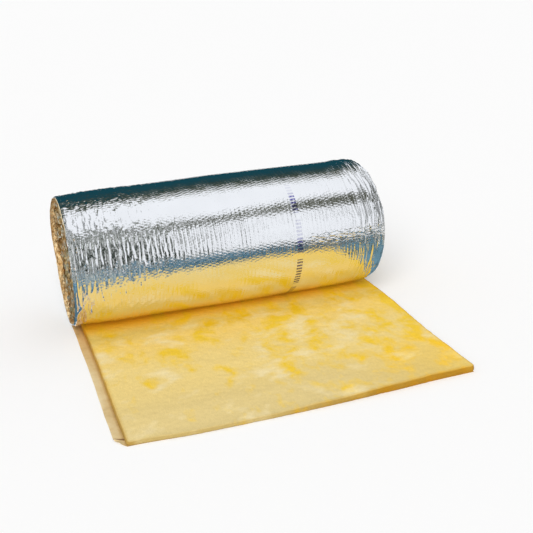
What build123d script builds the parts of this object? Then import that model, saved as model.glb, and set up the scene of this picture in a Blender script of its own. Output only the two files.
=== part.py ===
"""Foil-faced glass wool blanket, wound into a roll and part unrolled on the floor.

The roll's axis runs along X. The free end lies flat towards -Y with its wool side up. The facing
is outside on the roll, so it is underneath on the flat stretch. At the left end, -X, the facing
is wider than the wool by a stapling flange, which follows every turn of the roll.

Each half turn of the winding is one arc. The arcs on the back of the roll share one centre, and
those on the front share another half a pitch higher, so every half turn is half a pitch smaller
than the one before it and runs into it smoothly at the roll's top or bottom.
"""

import os

from build123d import *

# Driving dimensions, in millimetres
blanket_width = 1200.0  # of the wool, along X
flange_width = 32.0  # facing that is left bare of wool at the left end
roll_diameter = 530.0  # over the outermost turn
turn_pitch = 15.5  # the blanket as squeezed in the roll, one turn to the next
loft_thickness = 25.0  # the blanket as it lies loose, facing included
flat_length = 885.0  # from the line below the roll's axis to the free end
facing_thickness = 0.5
eye_diameter = 76.0  # the hole that the winding mandrel leaves
pressed_turns = 1  # at the eye, pressed round the mandrel too closely to show
groove_width = 2.0  # between the edges of two turns, on the right end
groove_depth = 8.0
edge_rounding = 6.0  # of the loose wool's top edge at its free end
corner_rounding = 12.0  # of the free end's corners, seen from above
flange_corner_rounding = 20.0

# Derived sizes and places
roll_radius = roll_diameter / 2
eye_radius = eye_diameter / 2
facing_width = blanket_width + flange_width
facing_left = -facing_width / 2
wool_left = facing_left + flange_width
wool_right = wool_left + blanket_width
roll_y = (flat_length - roll_radius) / 2
free_end_y = roll_y - flat_length
half_pitch = turn_pitch / 2
outer_halves = 2  # the half turns of the outermost turn, back then front
winding_halves = 2 * (int((roll_radius - eye_radius) / turn_pitch) - pressed_turns)
eye_z = roll_radius + half_pitch / 2
nip_radius = roll_radius - half_pitch
nip_centre_z = roll_radius + half_pitch
nip_y = roll_y - (nip_radius**2 - (nip_centre_z - loft_thickness) ** 2) ** 0.5


def half_turn(number, inset):
    """One half turn's arc, moved in towards its centre by inset. Even ones are on the back."""
    on_back = number % 2 == 0
    centre_z = roll_radius if on_back else roll_radius + half_pitch
    radius = roll_radius - number * half_pitch - inset
    start = -90 if on_back else 90
    return CenterArc((roll_y, centre_z), radius, start, 180)


def winding_band(first, last, outer_inset, inner_inset):
    """The band between two insets of the winding, from the start of one half turn to the end of another."""
    with BuildSketch(mode=Mode.PRIVATE) as band:
        with BuildLine():
            outer = [half_turn(number, outer_inset) for number in range(first, last)]
            inner = [half_turn(number, inner_inset) for number in range(first, last)]
            Line(outer[0] @ 0, inner[0] @ 0)
            Line(outer[-1] @ 1, inner[-1] @ 1)
        make_face()
    return band.sketch


# Glass wool: the roll and the flat stretch are one piece
with BuildPart() as blanket:
    with BuildSketch(Plane.YZ.offset(wool_left)):
        with BuildLine():
            back = half_turn(0, facing_thickness)
            front = half_turn(1, facing_thickness)
            tuck_end = Line(front @ 1, (roll_y, turn_pitch))
            tuck = RadiusArc(tuck_end @ 1, (nip_y, loft_thickness), nip_radius)
            top = Line(tuck @ 1, (free_end_y, loft_thickness))
            free_end = Line(top @ 1, (free_end_y, facing_thickness))
            Line(free_end @ 1, back @ 0)
        make_face()
        with Locations((roll_y, eye_z)):
            Circle(eye_radius, mode=Mode.SUBTRACT)
    extrude(amount=blanket_width)

    at_free_end = blanket.edges().group_by(Axis.Y)[0]
    fillet(at_free_end.filter_by(Axis.Z), corner_rounding)
    fillet(blanket.edges().group_by(Axis.Y)[0].filter_by(Axis.X).sort_by(Axis.Z)[-1], edge_rounding)

    # the turns show on the right end as a spiral groove
    groove_inset = (facing_thickness - groove_width) / 2
    with BuildSketch(Plane.YZ.offset(wool_right)):
        add(winding_band(outer_halves, winding_halves, groove_inset, groove_inset + groove_width))
    extrude(amount=-groove_depth, mode=Mode.SUBTRACT)

# Facing: under the flat stretch, round the outermost turn, and tucked in at the nip
with BuildPart() as facing:
    with BuildSketch(Plane.YZ.offset(facing_left)):
        add(winding_band(0, outer_halves, 0, facing_thickness))
        with Locations((free_end_y, 0)):
            Rectangle(flat_length, facing_thickness, align=Align.MIN)
    extrude(amount=facing_width)

    # the flange of every inner turn stands out from the wool's left end
    with BuildSketch(Plane.YZ.offset(facing_left)):
        add(winding_band(outer_halves, winding_halves, 0, facing_thickness))
    extrude(amount=flange_width)

    free_corners = facing.edges().group_by(Axis.Y)[0].filter_by(Axis.Z).sort_by(Axis.X)
    fillet(free_corners[0], flange_corner_rounding)
    fillet(free_corners[-1], corner_rounding)

blanket.part.label = "glass_wool_blanket"
facing.part.label = "foil_facing"

os.makedirs("parts", exist_ok=True)
for piece in (blanket, facing):
    export_step(piece.part, f"parts/{piece.part.label}.step")
    print(piece.part.label, piece.part.bounding_box(), "solids", len(piece.part.solids()))
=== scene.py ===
# %% [markdown]
# # A part-unrolled insulation roll
# The real thing is one long blanket of glass wool, glued to a sheet of reinforced foil on kraft
# paper, wound foil side out, with its free end drawn out flat on the floor. The solid model
# gives every size. This lesson dresses it: crinkled foil, a crumpled stapling flange, mottled
# wool and the wound ends.

# %% Load the frame
import math

import bpy
import numpy as np
from mathutils import Matrix, Vector


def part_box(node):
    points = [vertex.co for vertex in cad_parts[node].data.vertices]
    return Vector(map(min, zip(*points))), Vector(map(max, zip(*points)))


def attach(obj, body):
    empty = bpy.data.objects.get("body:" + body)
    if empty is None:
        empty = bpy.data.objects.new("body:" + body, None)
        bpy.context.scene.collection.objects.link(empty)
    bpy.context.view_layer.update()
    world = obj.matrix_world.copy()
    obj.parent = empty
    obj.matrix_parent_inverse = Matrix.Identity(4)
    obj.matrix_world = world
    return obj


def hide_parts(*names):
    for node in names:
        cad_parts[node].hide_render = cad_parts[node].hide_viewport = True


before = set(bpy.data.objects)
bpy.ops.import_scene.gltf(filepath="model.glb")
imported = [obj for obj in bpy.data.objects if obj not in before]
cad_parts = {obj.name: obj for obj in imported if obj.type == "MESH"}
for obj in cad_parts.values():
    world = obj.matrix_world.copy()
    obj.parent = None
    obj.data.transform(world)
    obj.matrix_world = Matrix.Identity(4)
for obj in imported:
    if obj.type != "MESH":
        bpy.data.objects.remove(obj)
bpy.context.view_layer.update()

foil_low, foil_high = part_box("foil_facing")
wool_low, wool_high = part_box("glass_wool_blanket")

# %% [markdown]
# ## Measures
# The roll's diameter, the widths and the free end's length are read from the solids, so the
# pieces below fit them. The winding's pitch can't be read from a box, so it is stated once.

# %% Measures, in metres
TURN_PITCH = 0.0155
WOUND_TURNS = 14
LOFT = 0.025
FACING = 0.0005
FOIL = 0.0004
ROLL_RADIUS = foil_high.z / 2
ROLL_Y = foil_high.y - ROLL_RADIUS
FREE_END_Y = foil_low.y
LOOSE_LENGTH = ROLL_Y - FREE_END_Y
FLANGE_X = foil_low.x
LEFT_X = wool_low.x
RIGHT_X = wool_high.x
WOOL_WIDTH = RIGHT_X - LEFT_X
SHOULDER_LENGTH = 0.050
SHOULDER_DROP = 0.024
FULL_TURN = 2 * math.pi
print("roll radius", round(ROLL_RADIUS, 4), "axis at y", round(ROLL_Y, 4))

# %% [markdown]
# ## The winding
# A wound blanket is a spiral. Each half turn is an arc, half a pitch smaller than the last, and
# the arcs on the front are centred half a pitch higher than those on the back. Every wound piece
# below is drawn flat first and then rolled up with this one rule, so the pieces nest.


# %% Roll-up rule
def wound(turn_angle, inset):
    """Y and Z on the winding. The angle goes from the floor line back, up and over, the inset inwards."""
    half = np.floor(turn_angle / math.pi + 1e-9)
    radius = ROLL_RADIUS - half * TURN_PITCH / 2 - inset
    centre_z = ROLL_RADIUS + np.mod(half, 2) * TURN_PITCH / 2
    bearing = turn_angle - math.pi / 2
    return ROLL_Y + radius * np.cos(bearing), centre_z + radius * np.sin(bearing)


def turn_length(turns):
    """Length of blanket in that many turns, counted from the outermost."""
    return FULL_TURN * (ROLL_RADIUS * turns - TURN_PITCH * turns**2 / 2)


print("blanket in the roll", round(turn_length(WOUND_TURNS), 2), "m")


# %% Pressed and domed ends
def ramp(value, low, high):
    """0 below low, 1 above high, with a smooth rise between."""
    share = np.clip((np.asarray(value, float) - low) / (high - low), 0, 1)
    return share * share * (3 - 2 * share)


def pressed_in(x, depth, turn_angle=0.0):
    """How far the roll is pressed in at x, more above than below, and less at a depth inside it."""
    upper = 0.5 - 0.5 * np.cos(turn_angle)
    shoulder = SHOULDER_LENGTH * (0.9 + 0.20 * upper)
    reach = np.clip((x - (RIGHT_X - shoulder)) / shoulder, 0, 1)
    right = (SHOULDER_DROP - 0.004 + 0.011 * upper) * (1 - np.sqrt(1 - 0.96 * reach**2))
    right = right + 0.009 * (1 - upper) * ramp(x, RIGHT_X - 0.17, RIGHT_X - 0.01)
    left = 0.007 * (1 - ramp(x, -0.40, 0.05)) + 0.008 * (1 - ramp(x, FLANGE_X - 0.014, -0.42))
    return (right + left) * np.clip(1 - depth / (0.55 * ROLL_RADIUS), 0, 1)


def dome(turns):
    """How far the left end's middle stands out, a given number of turns in from the outside."""
    return 0.014 * (1 - np.clip(1 - turns * TURN_PITCH / ROLL_RADIUS, 0, 1) ** 2)


print("pressed in at the right", round(1000 * float(pressed_in(RIGHT_X, 0, math.pi)), 1), "mm on top")

# %% [markdown]
# ## Hand-made unevenness
# Paper creases and felted wool are uneven at every scale. Smooth gradient noise, worked out for
# all of a mesh's points at once, moves real geometry, so that the unevenness also shows on the
# outline. Ridges, which are noise folded at zero, give creases.

# %% Noise in two directions
lattice = np.tile(np.random.default_rng(11).permutation(256), 2)


def waves(u, v, layer=0):
    """Gradient noise between about -1 and 1. Each layer number is another pattern."""
    u, v = np.broadcast_arrays(np.asarray(u, float) + 37.7 * layer, np.asarray(v, float) + 17.3 * layer)
    column, row = np.floor(u).astype(int), np.floor(v).astype(int)
    across, along = u - column, v - row
    ease_u, ease_v = (share**3 * (share * (share * 6 - 15) + 10) for share in (across, along))
    corners = []
    for step_u, step_v in ((0, 0), (1, 0), (0, 1), (1, 1)):
        key = lattice[(lattice[(column + step_u) & 255] + row + step_v) & 255]
        angle = key * (FULL_TURN / 256)
        corners.append(np.cos(angle) * (across - step_u) + np.sin(angle) * (along - step_v))
    low = corners[0] + ease_u * (corners[1] - corners[0])
    high = corners[2] + ease_u * (corners[3] - corners[2])
    return 1.5 * (low + ease_v * (high - low))


def uneven(u, v, *sizes):
    """Noise of several sizes added up, each with a height, two lengths in metres and a layer."""
    return sum(height * waves(u / long_u, v / long_v, layer) for height, long_u, long_v, layer in sizes)


def creases(u, v, layer=0, sharpness=1.0):
    """Folded noise: 1 along a crease, falling to 0 between creases."""
    return np.clip(1 - 2 * np.abs(waves(u, v, layer)), 0, 1) ** sharpness


print("noise at one point", round(float(waves(0.3, 0.7)), 3), "creased", round(float(creases(0.3, 0.7)), 3))

# %% [markdown]
# ## Flat sheets to work from
# Every soft piece here starts as a flat grid, as the real sheets do. A helper adds the grid,
# hands its points to a rule that rolls, creases or lofts them, and keeps a map of the flat
# sheet in metres, so that a pattern printed or pressed into the sheet follows it.


# %% Grid helpers
def only(piece):
    """Selects this piece alone."""
    bpy.ops.object.select_all(action="DESELECT")
    piece.select_set(True)
    bpy.context.view_layer.objects.active = piece


def new_grid(name, columns, rows):
    """A grid of columns by rows faces, its points counted row by row."""
    bpy.ops.object.select_all(action="DESELECT")
    bpy.ops.mesh.primitive_grid_add(x_subdivisions=columns, y_subdivisions=rows, size=1)
    piece = bpy.context.object
    piece.name = piece.data.name = name
    return piece


def points_of(piece):
    """The mesh's points as an array."""
    flat = np.empty(len(piece.data.vertices) * 3)
    piece.data.vertices.foreach_get("co", flat)
    return flat.reshape(-1, 3)


def place(piece, x, y, z):
    """Moves the mesh's points to their new places."""
    points = np.stack(np.broadcast_arrays(x, y, z), 1).astype(np.float32)
    piece.data.vertices.foreach_set("co", points.ravel())
    piece.data.update()


def grid_shares(piece):
    """Each point's share across the grid, and along it, from 0 to 1."""
    points = points_of(piece)
    return points[:, 0] + 0.5, points[:, 1] + 0.5


def line_of(share, places):
    """The number of the grid line that each point is on, where the lines have these places."""
    return np.rint(share * (len(places) - 1)).astype(int)


def keep_flat_map(piece, across, along):
    """Stores the flat sheet's own metres as the piece's only map."""
    maps = piece.data.uv_layers
    while len(maps) > 0:
        maps.remove(maps[0])
    corner_points = np.empty(len(piece.data.loops), int)
    piece.data.loops.foreach_get("vertex_index", corner_points)
    pairs = np.stack([across, along], 1)[corner_points].astype(np.float32)
    maps.new(name="sheet").data.foreach_set("uv", pairs.ravel())


print("sheets reach from x", round(FLANGE_X, 3), "to", round(RIGHT_X, 3))


# %% Shell helpers
def edit(piece, *steps):
    """Runs edit-mode operators on the whole piece."""
    only(piece)
    bpy.ops.object.mode_set(mode="EDIT")
    bpy.ops.mesh.select_all(action="SELECT")
    for step in steps:
        step()
    bpy.ops.object.mode_set(mode="OBJECT")


def recalculate():
    """Makes neighbouring faces look to the same side."""
    bpy.ops.mesh.normals_make_consistent(inside=False)


def enclosed(piece):
    """The volume inside the mesh's faces. It comes out negative where they look inwards."""
    piece.data.calc_loop_triangles()
    corners = np.empty(len(piece.data.loop_triangles) * 3, int)
    piece.data.loop_triangles.foreach_get("vertices", corners)
    first, second, third = points_of(piece)[corners.reshape(-1, 3)].transpose(1, 0, 2)
    return float(np.einsum("ij,ij->i", first, np.cross(second, third)).sum() / 6)


def face_outwards(piece):
    """Turns the faces outwards. On a thin folded wall only the volume tells which way that is."""
    edit(piece, recalculate)
    if enclosed(piece) < 0:
        edit(piece, bpy.ops.mesh.flip_normals)


def close_up(piece, gap):
    """Joins the points of a rolled-up tube that meet within the gap, and fills its two ends."""
    edit(
        piece,
        lambda: bpy.ops.mesh.remove_doubles(threshold=gap),
        lambda: bpy.ops.mesh.select_all(action="DESELECT"),
        bpy.ops.mesh.select_non_manifold,
        bpy.ops.mesh.edge_face_add,
    )
    face_outwards(piece)


def looking_out(piece):
    """For each face, how much it looks away from the roll's axis."""
    count = len(piece.data.polygons)
    middles, directions = np.empty(count * 3), np.empty(count * 3)
    piece.data.polygons.foreach_get("center", middles)
    piece.data.polygons.foreach_get("normal", directions)
    middles, directions = middles.reshape(-1, 3), directions.reshape(-1, 3)
    return (middles[:, 1] - ROLL_Y) * directions[:, 1] + (middles[:, 2] - ROLL_RADIUS) * directions[:, 2]


def thicken(piece, thickness):
    """Gives a sheet its real thickness, on its foil side, which looks away from the roll's axis."""
    edit(piece, recalculate)
    if looking_out(piece).sum() < 0:
        edit(piece, bpy.ops.mesh.flip_normals)
    only(piece)
    wall = piece.modifiers.new("thickness", "SOLIDIFY")
    wall.thickness = thickness
    wall.offset = 1.0
    wall.use_even_offset = False
    bpy.ops.object.modifier_apply(modifier=wall.name)
    face_outwards(piece)


print("a sheet is", 1000 * FACING, "mm thick, foil alone", 1000 * FOIL, "mm")

# %% Finishing helpers
SHARP_ANGLE = math.radians(50)


def open_edges(piece):
    """How many edges don't have exactly two faces."""
    edge_of_corner = np.empty(len(piece.data.loops), int)
    piece.data.loops.foreach_get("edge_index", edge_of_corner)
    return int((np.bincount(edge_of_corner, minlength=len(piece.data.edges)) != 2).sum())


def finished(piece, slot, *materials):
    """Smooth shading, materials, and what the frame has to know."""
    only(piece)
    bpy.ops.object.shade_smooth_by_angle(angle=SHARP_ANGLE)
    for material in materials:
        piece.data.materials.append(material)
    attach(piece, "root")
    litres = round(1000 * enclosed(piece), 2)
    triangles = len(piece.data.loop_triangles)
    print(piece.name, triangles, "triangles", open_edges(piece), "open edges", litres, "litres")


def paper_inside(piece):
    """Gives the second material, paper, to the faces that look towards the roll's axis."""
    inside = (looking_out(piece) < 0).astype(np.int32)
    piece.data.polygons.foreach_set("material_index", inside)
    piece.data.update()
    print(piece.name, "has", int(inside.sum()), "faces of paper")


# %% [markdown]
# ## Shader wiring
# A material is a tree of small nodes. Joining them by hand takes many clicks, and in code many
# lines, so one helper holds a tree and has a short word for each kind of node used here: noise,
# streaks, smooth rises between two places, tints and stacked bumps.


# %% Wiring helper
class Wiring:
    """Adds and joins the nodes of one tree."""

    def __init__(self, tree):
        self.tree = tree

    def join(self, value, socket):
        """Links an output to a socket, or sets the socket to a number or a colour."""
        if isinstance(value, bpy.types.NodeSocket):
            self.tree.links.new(value, socket)
        else:
            socket.default_value = (*value[:3], 1) if socket.type == "RGBA" else value

    def give(self, node, **sockets):
        """Joins values to sockets by name. An underscore stands for a space."""
        for label, value in sockets.items():
            self.join(value, node.inputs[label.replace("_", " ")])

    def add(self, kind, settings=None, **sockets):
        """A new node with its settings and sockets."""
        node = self.tree.nodes.new(kind)
        for key, value in (settings or {}).items():
            setattr(node, key, value)
        self.give(node, **sockets)
        return node

    def grouped(self, group, **sockets):
        """What a shader group puts out."""
        return self.add("ShaderNodeGroup", {"node_tree": group}, **sockets).outputs

    def sheet_map(self):
        """The piece's own flat map, in metres."""
        return self.add("ShaderNodeUVMap", {"uv_map": "sheet"}).outputs[0]

    def parts(self, vector):
        """A vector's x, y and z."""
        return self.add("ShaderNodeSeparateXYZ", Vector=vector).outputs

    def maths(self, operation, *values, kind="ShaderNodeMath"):
        """One step of arithmetic."""
        node = self.add(kind, {"operation": operation})
        for socket, value in zip(node.inputs, values):
            self.join(value, socket)
        return node.outputs[0]

    def times(self, first, *others):
        """All the values multiplied together."""
        for value in others:
            first = self.maths("MULTIPLY", first, value)
        return first

    def rise(self, value, low, high, before=0.0, after=1.0, kind="SMOOTHSTEP"):
        """Goes from before, where the value is low, to after, where it is high."""
        settings = {"interpolation_type": kind}
        reach = {"From_Min": low, "From_Max": high, "To_Min": before, "To_Max": after}
        return self.add("ShaderNodeMapRange", settings, Value=value, **reach).outputs[0]

    def noise(self, vector, scale, detail=3.0, roughness=0.5, distortion=0.0):
        """A noise pattern, with about that many spots to the metre."""
        pattern = {"Scale": scale, "Detail": detail, "Roughness": roughness, "Distortion": distortion}
        return self.add("ShaderNodeTexNoise", Vector=vector, **pattern).outputs["Fac"]

    def streaks(self, vector, stretch, turn, *pattern):
        """Noise that is turned, and drawn out in the direction whose stretch is small."""
        drawn = self.add("ShaderNodeMapping", Vector=vector, Scale=(*stretch, 1), Rotation=(0, 0, turn))
        return self.noise(drawn.outputs[0], *pattern)

    def shaken(self, vector, scale, reach):
        """The vector moved about by up to that reach, so that what is straight on it wanders."""
        cloud = self.add("ShaderNodeTexNoise", Vector=vector, Scale=scale, Detail=2.0).outputs["Color"]
        return self.maths("MULTIPLY_ADD", cloud, (reach,) * 3, vector, kind="ShaderNodeVectorMath")

    def graded(self, value, stops):
        """A colour ramp through the stops, each a place and a colour or a grey."""
        node = self.add("ShaderNodeValToRGB")
        elements = node.color_ramp.elements
        while len(elements) < len(stops):
            elements.new(0.5)
        for element, (spot, colour) in zip(elements, stops):
            element.position = spot
            element.color = (*colour, 1) if isinstance(colour, tuple) else (colour, colour, colour, 1)
        self.join(value, node.inputs[0])
        return node.outputs[0]

    def folded(self, pattern, width):
        """Fine lines where a noise crosses its middle: 1 on a line, 0 at that width beside it."""
        off_middle = self.maths("ABSOLUTE", self.maths("SUBTRACT", pattern, 0.5))
        return self.graded(off_middle, [(0.0, 1.0), (width, 0.0)])

    def mixed(self, share, first, second, blend="MIX"):
        """The second colour over the first, by that share."""
        node = self.add("ShaderNodeMix", {"data_type": "RGBA", "blend_type": blend})
        for number, value in ((0, share), (6, first), (7, second)):
            self.join(value, node.inputs[number])
        return node.outputs[2]

    def tinted(self, colour, tint, share=1.0):
        """The colour multiplied by the tint, by that share."""
        return self.mixed(share, colour, tint, "MULTIPLY")

    def bumped(self, *layers):
        """Bumps on top of each other, each with a height, its depth in metres and its strength."""
        below = {}
        for height, distance, strength in layers:
            bump = self.add("ShaderNodeBump", Height=height, Distance=distance, Strength=strength, **below)
            below = {"Normal": bump.outputs[0]}
        return below["Normal"]


print("node helpers", sum(1 for word in vars(Wiring) if not word.startswith("_")))


# %% Groups and materials
def new_group(name, numbers, outputs):
    """A group of nodes that takes a vector and some numbers, with their usual values."""
    group = bpy.data.node_groups.new(name, "ShaderNodeTree")
    group.interface.new_socket(name="Vector", in_out="INPUT", socket_type="NodeSocketVector")
    for label, value in numbers.items():
        socket = group.interface.new_socket(name=label, in_out="INPUT", socket_type="NodeSocketFloat")
        socket.default_value = value
    for label in outputs:
        group.interface.new_socket(name=label, in_out="OUTPUT", socket_type="NodeSocketFloat")
    wires = Wiring(group)
    return group, wires, wires.add("NodeGroupInput").outputs, wires.add("NodeGroupOutput")


def new_material(name, shader="ShaderNodeBsdfPrincipled"):
    """A material with only its surface shader, and the wiring to add the rest."""
    material = bpy.data.materials.new(name)
    material.use_nodes = True
    material.node_tree.nodes.clear()
    wires = Wiring(material.node_tree)
    surface = wires.add(shader)
    wires.add("ShaderNodeOutputMaterial", Surface=surface.outputs[0])
    return material, wires, surface


print("materials so far", len(bpy.data.materials))

# %% [markdown]
# ## Shader groups
# Two effects serve several materials. Reinforced facing shows its scrim, a net of glass threads
# between foil and paper: straight ones along the blanket and two lots that cross it at a slant,
# so the foil is puckered into fine ribs with flat diamonds between. Crumpled paper and foil both
# have fine random facets. Each is a group with its own inputs, and puts out heights or masks.

# %% Scrim group
RIB_SPACING = 0.0165
STRAIGHT_HALF, SLANTING_HALF = 0.28, 0.42
NET_SIZES = {"Lengthwise": RIB_SPACING, "Crosswise": 0.012, "Slope": 0.42}
scrim, wires, given, result = new_group("scrim_net", NET_SIZES, ("Threads", "Diamonds"))
over_sheet, down_sheet, _ = wires.parts(wires.shaken(given["Vector"], 9.0, 0.012))


def thread(distance, spacing, half_width):
    """1 on a thread, falling to 0 beside it. The half width is a share of the spacing."""
    lane = wires.maths("PINGPONG", wires.maths("DIVIDE", distance, spacing), 0.5)
    return wires.rise(lane, half_width, 0.0)


leaning = wires.times(over_sheet, given["Slope"])
one_way, other_way = (
    thread(wires.maths(way, down_sheet, leaning), given["Crosswise"], SLANTING_HALF)
    for way in ("ADD", "SUBTRACT")
)
wires.give(
    result,
    Threads=thread(over_sheet, given["Lengthwise"], STRAIGHT_HALF),
    Diamonds=wires.maths("MAXIMUM", one_way, other_way),
)
print("scrim nodes", len(scrim.nodes))

# %% Crumple group
crumple, wires, given, result = new_group("crumple", {"Facets": 120.0}, ("Height", "Mask"))
moved = wires.shaken(given["Vector"], 60.0, 0.006)
facets = wires.add("ShaderNodeTexVoronoi", {"feature": "F1"}, Vector=moved, Scale=given["Facets"])
small = wires.noise(given["Vector"], 420.0, 3.0, 0.6)
wires.give(
    result,
    Height=wires.maths("MULTIPLY_ADD", small, 0.35, facets.outputs["Distance"]),
    Mask=wires.noise(given["Vector"], 45.0, 4.0, 0.65),
)
print("crumple nodes", len(crumple.nodes))

# %% [markdown]
# ## Foil
# Aluminium foil is a mirror that handling has creased: metal all over, fairly sharp, with
# roughness that changes from patch to patch. The big creases are in the mesh. The scrim's
# ribs and diamonds, fine crumples and hairline scratches come from bump, on the sheet's own map.
# Handling adds more of them in places: slanting creases cross the ribs near the flange, ripples
# run along the middle of the front, and fine pulled lines run down to the nip on the right.

# %% Foil material
foil, wires, surface = new_material("bright_foil")
sheet_map = wires.sheet_map()
net = wires.grouped(scrim, Vector=sheet_map)
crumpled = wires.grouped(crumple, Vector=sheet_map, Facets=95.0)
foil_x, foil_s, _ = wires.parts(sheet_map)
bright = wires.graded(wires.noise(sheet_map, 9.0), [(0.3, 0.94), (0.7, 0.98)])
sheen = wires.maths("MULTIPLY_ADD", crumpled["Mask"], 0.07, 0.03)


def along_roll(low, high, before=0.0, after=1.0):
    """A share that changes along the roll, between two places."""
    return wires.rise(foil_x, low, high, before, after)


def round_roll(low, high, before=0.0, after=1.0):
    """A share that changes round the roll, between two lengths from the floor line."""
    return wires.rise(foil_s, low, high, before, after)


in_middle = wires.times(
    along_roll(0.22, 0.36), round_roll(1.165, 1.195), round_roll(1.20, 1.24, 1.0, 0.15)
)
low_right = wires.times(along_roll(0.40, 0.52), round_roll(1.20, 1.28))
near_nip = wires.times(along_roll(0.30, 0.40), round_roll(1.33, 1.40))
near_flange = wires.times(
    along_roll(-0.52, -0.26, 1.0, 0.0), round_roll(0.84, 0.92), round_roll(0.98, 1.12, 1.0, 0.12)
)
print("foil nodes for its places", len(foil.node_tree.nodes))

# %% Scrim, scratches and creases in the foil
patchy = wires.graded(wires.noise(sheet_map, 22.0, 2.0), [(0.36, 0.35), (0.62, 1.0)])
drawn_tight = wires.graded(wires.streaks(sheet_map, (1, 0.25), 0, 14.0, 2.0), [(0.34, 0.45), (0.60, 1.0)])
upper_part = wires.times(round_roll(0.60, 0.80, 0.5, 1.0), round_roll(0.84, 1.00, 3.0, 1.0))
left_part = wires.times(along_roll(-0.30, 0.50, 1.0, 0.22), round_roll(1.03, 1.10, 0.30, 1.0))
fine_ribs = wires.streaks(sheet_map, (1, 0.07), 0, 150.0, 2.0)
scratches = wires.streaks(sheet_map, (0.12, 1), 0.5, 420.0, 2.0, 0.6)
ripples = wires.streaks(sheet_map, (0.30, 1), -0.55, 80.0, 1.0, 0.5, 0.4)
slanting = wires.folded(wires.streaks(sheet_map, (0.40, 1), -0.80, 70.0, 1.0, 0.5, 0.3), 0.07)
drawn_down = wires.folded(wires.streaks(sheet_map, (1, 0.12), 0.45, 60.0, 2.0, 0.5, 0.3), 0.15)
pulled_in = wires.folded(wires.streaks(sheet_map, (1, 0.14), 0.85, 62.0, 1.0, 0.5, 0.2), 0.15)
crossing = wires.streaks(sheet_map, (0.38, 1), -0.25, 62.0, 1.0, 0.5, 0.2)
foil_bumps = wires.bumped(
    (wires.times(net["Diamonds"], patchy, upper_part), 0.00020, 1.0),
    (wires.times(net["Threads"], drawn_tight, left_part), 0.00025, 1.0),
    (fine_ribs, 0.0006, 0.5),
    (scratches, 0.0003, 0.5),
    (wires.times(crumpled["Height"], along_roll(-0.50, -0.05, 1.1, 0.7)), 0.0008, 0.5),
    (wires.times(ripples, in_middle), 0.0010, 1.0),
    (wires.times(slanting, in_middle), 0.0009, 1.0),
    (wires.times(drawn_down, low_right), 0.0010, 1.0),
    (wires.times(pulled_in, near_nip), 0.0007, 1.0),
    (wires.times(crossing, near_flange), 0.0016, 1.0),
)
print("foil nodes with its bumps", len(foil.node_tree.nodes))

# %% [markdown]
# A measuring scale is printed along the facing, to cut lengths by: short dashes across a line,
# in groups. The ink is a thin violet film, so the metal still mirrors through it, only tinted.
# It is worn here and there, and faded over the top of the roll and over a band on its upper
# front, where bright reflections lie: painted glare. Right at the folded rim the paper shows as a
# pale hairline above the roll's middle.

# %% Scale printed on the foil
SCALE_X, SCALE_HALF = 0.240, 0.0115
DASH_SPACING, GROUP_SPACING = 0.0145, 0.16


def repeated(spacing, share):
    """1 over the first share of every spacing round the roll, and 0 over the rest."""
    spot = wires.maths("FRACT", wires.maths("DIVIDE", foil_s, spacing))
    return wires.maths("LESS_THAN", spot, share)


off_line = wires.maths("ABSOLUTE", wires.maths("SUBTRACT", foil_x, SCALE_X))
on_line = wires.maths("LESS_THAN", off_line, SCALE_HALF)
dashes = wires.times(on_line, repeated(DASH_SPACING, 0.60), repeated(GROUP_SPACING, 0.82))
worn = wires.graded(wires.noise(sheet_map, 150.0), [(0.32, 0.35), (0.50, 0.95)])
# Painted glare: the ink fades over the top of the roll and across a band on its upper front.
painted_glare_fade = wires.maths("MAXIMUM", round_roll(1.07, 1.10, 1.0, 0.30), round_roll(1.18, 1.205))
ink = wires.times(dashes, worn, round_roll(0.995, 1.025, 0.15, 1.0), painted_glare_fade)
inked = wires.mixed(ink, bright, (0.14, 0.13, 0.42))
rim_width = round_roll(1.00, 1.10, 0.0020, -0.001)
is_foil = wires.maths("GREATER_THAN", wires.maths("SUBTRACT", foil_x, rim_width), FLANGE_X)
foil_colour = wires.mixed(is_foil, (0.74, 0.62, 0.42), inked)
wires.give(surface, Base_Color=foil_colour, Metallic=is_foil, Roughness=sheen, Normal=foil_bumps)
print("foil nodes", len(foil.node_tree.nodes))

# %% [markdown]
# ## Kraft paper
# The facing's inner side is brown kraft paper, seen on the flange and among the crumpled edges
# of the turns. Its colour wanders between tan and a darker glue stain, and it has a slight gloss.

# %% Kraft material
kraft, wires, surface = new_material("kraft_paper")
sheet_map = wires.sheet_map()
net = wires.grouped(scrim, Vector=sheet_map)
crumpled = wires.grouped(crumple, Vector=sheet_map, Facets=140.0)
stained = wires.noise(sheet_map, 38.0, 4.0, 0.6)
PAPER_TONES = [(0.32, (0.30, 0.16, 0.05)), (0.46, (0.70, 0.45, 0.19)), (0.62, (0.93, 0.76, 0.46))]
wires.give(
    surface,
    Base_Color=wires.graded(stained, PAPER_TONES),
    Roughness=0.42,
    Normal=wires.bumped((net["Diamonds"], 0.0004, 0.5), (crumpled["Height"], 0.0028, 0.8)),
)
print("kraft nodes", len(kraft.node_tree.nodes))

# %% [markdown]
# Between the crushed strips of the flange the foil faces brown paper, so what it mirrors is tan.
# That one bounce is put into the metal's colour, which is far quicker than many mirror bounces.

# %% Foil between paper
warm_foil, wires, surface = new_material("foil_between_paper")
sheet_map = wires.sheet_map()
crumpled = wires.grouped(crumple, Vector=sheet_map, Facets=150.0)
WARM_TONES = [(0.38, (0.40, 0.20, 0.06)), (0.50, (0.90, 0.66, 0.32)), (0.62, (0.98, 0.92, 0.76))]
wires.give(
    surface,
    Base_Color=wires.graded(wires.noise(sheet_map, 30.0, 2.0), WARM_TONES),
    Metallic=0.88,
    Roughness=0.42,
    Normal=wires.bumped((crumpled["Height"], 0.0016, 0.8)),
)
print("warm foil nodes", len(warm_foil.node_tree.nodes))
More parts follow.
